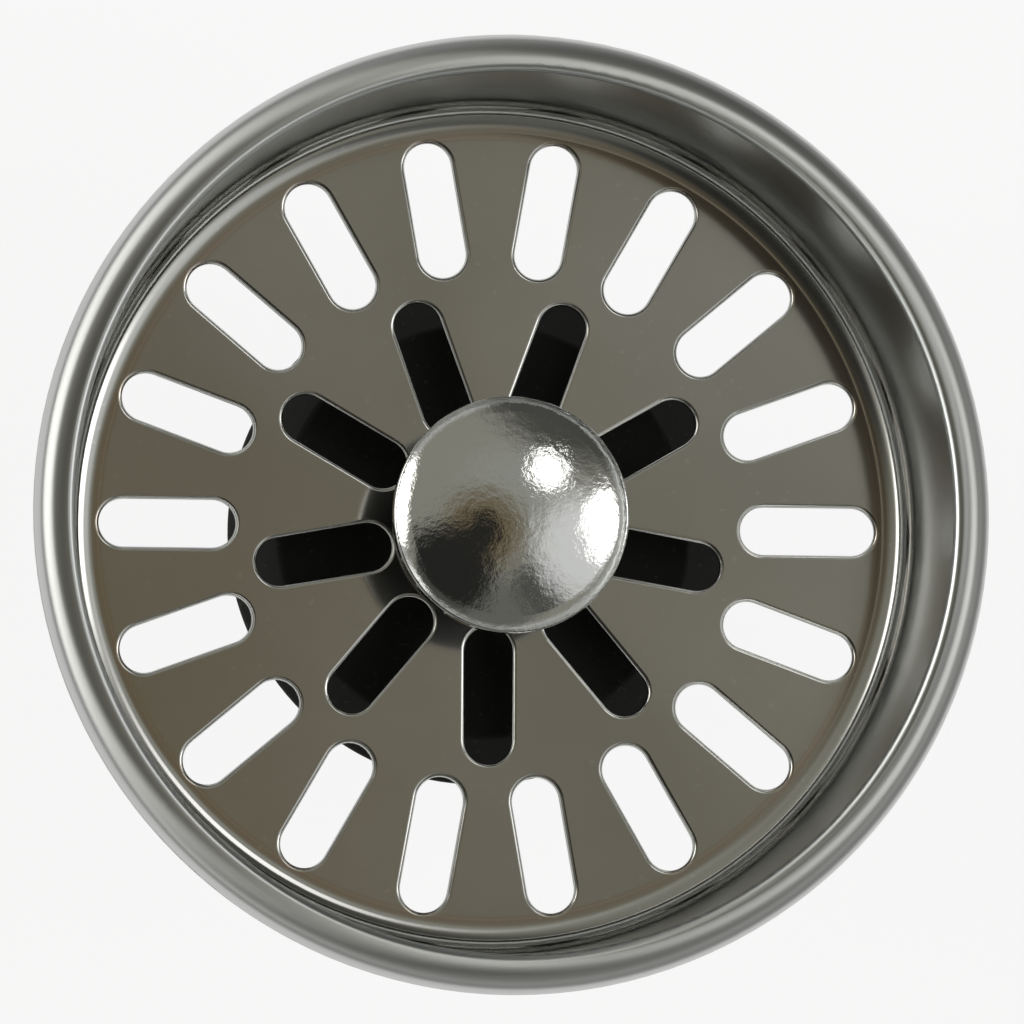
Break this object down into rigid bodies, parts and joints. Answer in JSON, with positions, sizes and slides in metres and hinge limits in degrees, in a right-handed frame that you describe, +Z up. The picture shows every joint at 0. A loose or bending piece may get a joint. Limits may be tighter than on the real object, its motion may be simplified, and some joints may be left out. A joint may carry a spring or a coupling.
{
  "type": "sink basket strainer",
  "caption": "Pressed steel basket strainer for a sink waste: slotted floor, rolled rim, button knob, rubber stopper below and a guide post with a ball detent.",
  "frame": {"origin": "middle of the guide post's flat lower end, on the strainer's axis", "axes": "+Z up along the axis, from the post to the knob; +X through the detent balls and an outer slot"},
  "size_m": [0.08, 0.08, 0.045],
  "materials": {
    "cup_steel": "bright pressed stainless, satin on the rim",
    "chrome": "mirror chrome plate",
    "post_chrome": "turned and plated",
    "brass": "turned brass",
    "nylon": "natural nylon",
    "plain_steel": "plain zinc-plated steel",
    "ball_steel": "polished ball",
    "rubber": "matt black rubber"
  },
  "bodies": {
    "spindle": {"knob": "chrome", "knob_insert": "brass", "post_sleeve": "chrome", "foot_washer": "chrome", "swivel_bush": "nylon", "spindle_rod": "plain_steel", "stopper": "rubber", "backing_plate": "plain_steel", "spring_washer": "plain_steel", "lock_nut": "plain_steel", "guide_post": "post_chrome", "detent_spring": "plain_steel"},
    "basket": {"basket_cup": "cup_steel"},
    "ball_left": {"detent_ball_left": "ball_steel"},
    "ball_right": {"detent_ball_right": "ball_steel"}
  },
  "joints": [
    {"name": "basket_swivel", "type": "hinge", "parent": "spindle", "child": "basket", "pos_m": [0, 0, 0.02495], "axis": [0, 0, 1], "continuous": true},
    {"name": "detent_ball_left", "type": "slide", "parent": "spindle", "child": "ball_left", "axis": [-1, 0, 0], "range_m": [-0.0008, 0], "stiffness_N_per_m": 1500, "springref_m": 0.001, "deforming": ["detent_spring"]},
    {"name": "detent_ball_right", "type": "slide", "parent": "spindle", "child": "ball_right", "axis": [1, 0, 0], "range_m": [-0.0008, 0], "stiffness_N_per_m": 1500, "springref_m": 0.001, "deforming": ["detent_spring"]}
  ]
}
